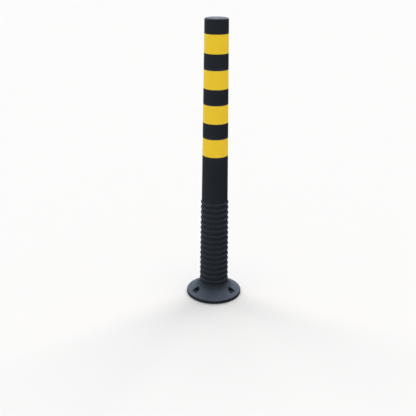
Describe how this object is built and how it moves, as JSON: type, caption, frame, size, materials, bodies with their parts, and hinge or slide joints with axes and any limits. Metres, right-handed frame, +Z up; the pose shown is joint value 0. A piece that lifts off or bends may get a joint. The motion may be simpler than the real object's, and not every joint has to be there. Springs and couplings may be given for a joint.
{
  "type": "delineator post",
  "caption": "Flexible traffic delineator post: tapered black tube with yellow reflective bands, a ribbed zone that bends, and a round base with counterbored fixing holes.",
  "frame": {"origin": "under the middle of the round base, on the ground", "axes": "+Z up along the post; one fixing hole lies along +Y"},
  "size_m": [0.2, 0.2, 1],
  "materials": {
    "post_moulding": "satin black polyurethane",
    "reflective_film": "yellow reflective sheeting"
  },
  "bodies": {
    "foot": {"base_flange": "post_moulding", "flex_web_01": "post_moulding"},
    "segment_01": {"flex_rib_01": "post_moulding", "flex_web_02": "post_moulding"},
    "segment_02": {"flex_rib_02": "post_moulding", "flex_web_03": "post_moulding"},
    "segment_03": {"flex_rib_03": "post_moulding", "flex_web_04": "post_moulding"},
    "segment_04": {"flex_rib_04": "post_moulding", "flex_web_05": "post_moulding"},
    "segment_05": {"flex_rib_05": "post_moulding", "flex_web_06": "post_moulding"},
    "segment_06": {"flex_rib_06": "post_moulding", "flex_web_07": "post_moulding"},
    "segment_07": {"flex_rib_07": "post_moulding", "flex_web_08": "post_moulding"},
    "segment_08": {"flex_rib_08": "post_moulding", "flex_web_09": "post_moulding"},
    "segment_09": {"flex_rib_09": "post_moulding", "flex_web_10": "post_moulding"},
    "segment_10": {"flex_rib_10": "post_moulding", "flex_web_11": "post_moulding"},
    "segment_11": {"flex_rib_11": "post_moulding", "flex_web_12": "post_moulding"},
    "segment_12": {"flex_rib_12": "post_moulding", "flex_web_13": "post_moulding"},
    "segment_13": {"flex_rib_13": "post_moulding", "flex_web_14": "post_moulding"},
    "segment_14": {"flex_rib_14": "post_moulding", "flex_web_15": "post_moulding"},
    "segment_15": {"flex_rib_15": "post_moulding", "flex_web_16": "post_moulding"},
    "segment_16": {"flex_rib_16": "post_moulding", "flex_web_17": "post_moulding"},
    "mast": {"post_tube": "post_moulding", "reflective_band_1": "reflective_film", "reflective_band_2": "reflective_film", "reflective_band_3": "reflective_film", "reflective_band_4": "reflective_film"}
  },
  "joints": [
    {"name": "flex_01", "type": "hinge", "parent": "foot", "child": "segment_01", "pos_m": [0, 0, 0.05], "axis": [1, 0, 0], "range_deg": [-8, 8], "stiffness_Nm_per_rad": 480, "deforming": ["flex_web_01"]},
    {"name": "flex_02", "type": "hinge", "parent": "segment_01", "child": "segment_02", "pos_m": [0, 0, 0.07], "axis": [0, 1, 0], "range_deg": [-9, 9], "stiffness_Nm_per_rad": 480, "deforming": ["flex_web_02"]},
    {"name": "flex_03", "type": "hinge", "parent": "segment_02", "child": "segment_03", "pos_m": [0, 0, 0.09], "axis": [1, 0, 0], "range_deg": [-8, 8], "stiffness_Nm_per_rad": 480, "deforming": ["flex_web_03"]},
    {"name": "flex_04", "type": "hinge", "parent": "segment_03", "child": "segment_04", "pos_m": [0, 0, 0.11], "axis": [0, 1, 0], "range_deg": [-9, 9], "stiffness_Nm_per_rad": 480, "deforming": ["flex_web_04"]},
    {"name": "flex_05", "type": "hinge", "parent": "segment_04", "child": "segment_05", "pos_m": [0, 0, 0.13], "axis": [1, 0, 0], "range_deg": [-8, 8], "stiffness_Nm_per_rad": 480, "deforming": ["flex_web_05"]},
    {"name": "flex_06", "type": "hinge", "parent": "segment_05", "child": "segment_06", "pos_m": [0, 0, 0.15], "axis": [0, 1, 0], "range_deg": [-9, 9], "stiffness_Nm_per_rad": 480, "deforming": ["flex_web_06"]},
    {"name": "flex_07", "type": "hinge", "parent": "segment_06", "child": "segment_07", "pos_m": [0, 0, 0.17], "axis": [1, 0, 0], "range_deg": [-8, 8], "stiffness_Nm_per_rad": 480, "deforming": ["flex_web_07"]},
    {"name": "flex_08", "type": "hinge", "parent": "segment_07", "child": "segment_08", "pos_m": [0, 0, 0.19], "axis": [0, 1, 0], "range_deg": [-9, 9], "stiffness_Nm_per_rad": 480, "deforming": ["flex_web_08"]},
    {"name": "flex_09", "type": "hinge", "parent": "segment_08", "child": "segment_09", "pos_m": [0, 0, 0.21], "axis": [1, 0, 0], "range_deg": [-8, 8], "stiffness_Nm_per_rad": 480, "deforming": ["flex_web_09"]},
    {"name": "flex_10", "type": "hinge", "parent": "segment_09", "child": "segment_10", "pos_m": [0, 0, 0.23], "axis": [0, 1, 0], "range_deg": [-9, 9], "stiffness_Nm_per_rad": 480, "deforming": ["flex_web_10"]},
    {"name": "flex_11", "type": "hinge", "parent": "segment_10", "child": "segment_11", "pos_m": [0, 0, 0.25], "axis": [1, 0, 0], "range_deg": [-8, 8], "stiffness_Nm_per_rad": 480, "deforming": ["flex_web_11"]},
    {"name": "flex_12", "type": "hinge", "parent": "segment_11", "child": "segment_12", "pos_m": [0, 0, 0.27], "axis": [0, 1, 0], "range_deg": [-9, 9], "stiffness_Nm_per_rad": 480, "deforming": ["flex_web_12"]},
    {"name": "flex_13", "type": "hinge", "parent": "segment_12", "child": "segment_13", "pos_m": [0, 0, 0.29], "axis": [1, 0, 0], "range_deg": [-8, 8], "stiffness_Nm_per_rad": 480, "deforming": ["flex_web_13"]},
    {"name": "flex_14", "type": "hinge", "parent": "segment_13", "child": "segment_14", "pos_m": [0, 0, 0.31], "axis": [0, 1, 0], "range_deg": [-9, 9], "stiffness_Nm_per_rad": 480, "deforming": ["flex_web_14"]},
    {"name": "flex_15", "type": "hinge", "parent": "segment_14", "child": "segment_15", "pos_m": [0, 0, 0.33], "axis": [1, 0, 0], "range_deg": [-8, 8], "stiffness_Nm_per_rad": 480, "deforming": ["flex_web_15"]},
    {"name": "flex_16", "type": "hinge", "parent": "segment_15", "child": "segment_16", "pos_m": [0, 0, 0.35], "axis": [0, 1, 0], "range_deg": [-9, 9], "stiffness_Nm_per_rad": 480, "deforming": ["flex_web_16"]},
    {"name": "flex_17", "type": "hinge", "parent": "segment_16", "child": "mast", "pos_m": [0, 0, 0.37], "axis": [1, 0, 0], "range_deg": [-8, 8], "stiffness_Nm_per_rad": 480, "deforming": ["flex_web_17"]}
  ],
  "couplings": [
    {"joint": "flex_03", "follows": "flex_01", "ratio": 1},
    {"joint": "flex_04", "follows": "flex_02", "ratio": 1},
    {"joint": "flex_05", "follows": "flex_01", "ratio": 1},
    {"joint": "flex_06", "follows": "flex_02", "ratio": 1},
    {"joint": "flex_07", "follows": "flex_01", "ratio": 1},
    {"joint": "flex_08", "follows": "flex_02", "ratio": 1},
    {"joint": "flex_09", "follows": "flex_01", "ratio": 1},
    {"joint": "flex_10", "follows": "flex_02", "ratio": 1},
    {"joint": "flex_11", "follows": "flex_01", "ratio": 1},
    {"joint": "flex_12", "follows": "flex_02", "ratio": 1},
    {"joint": "flex_13", "follows": "flex_01", "ratio": 1},
    {"joint": "flex_14", "follows": "flex_02", "ratio": 1},
    {"joint": "flex_15", "follows": "flex_01", "ratio": 1},
    {"joint": "flex_16", "follows": "flex_02", "ratio": 1},
    {"joint": "flex_17", "follows": "flex_01", "ratio": 1}
  ]
}
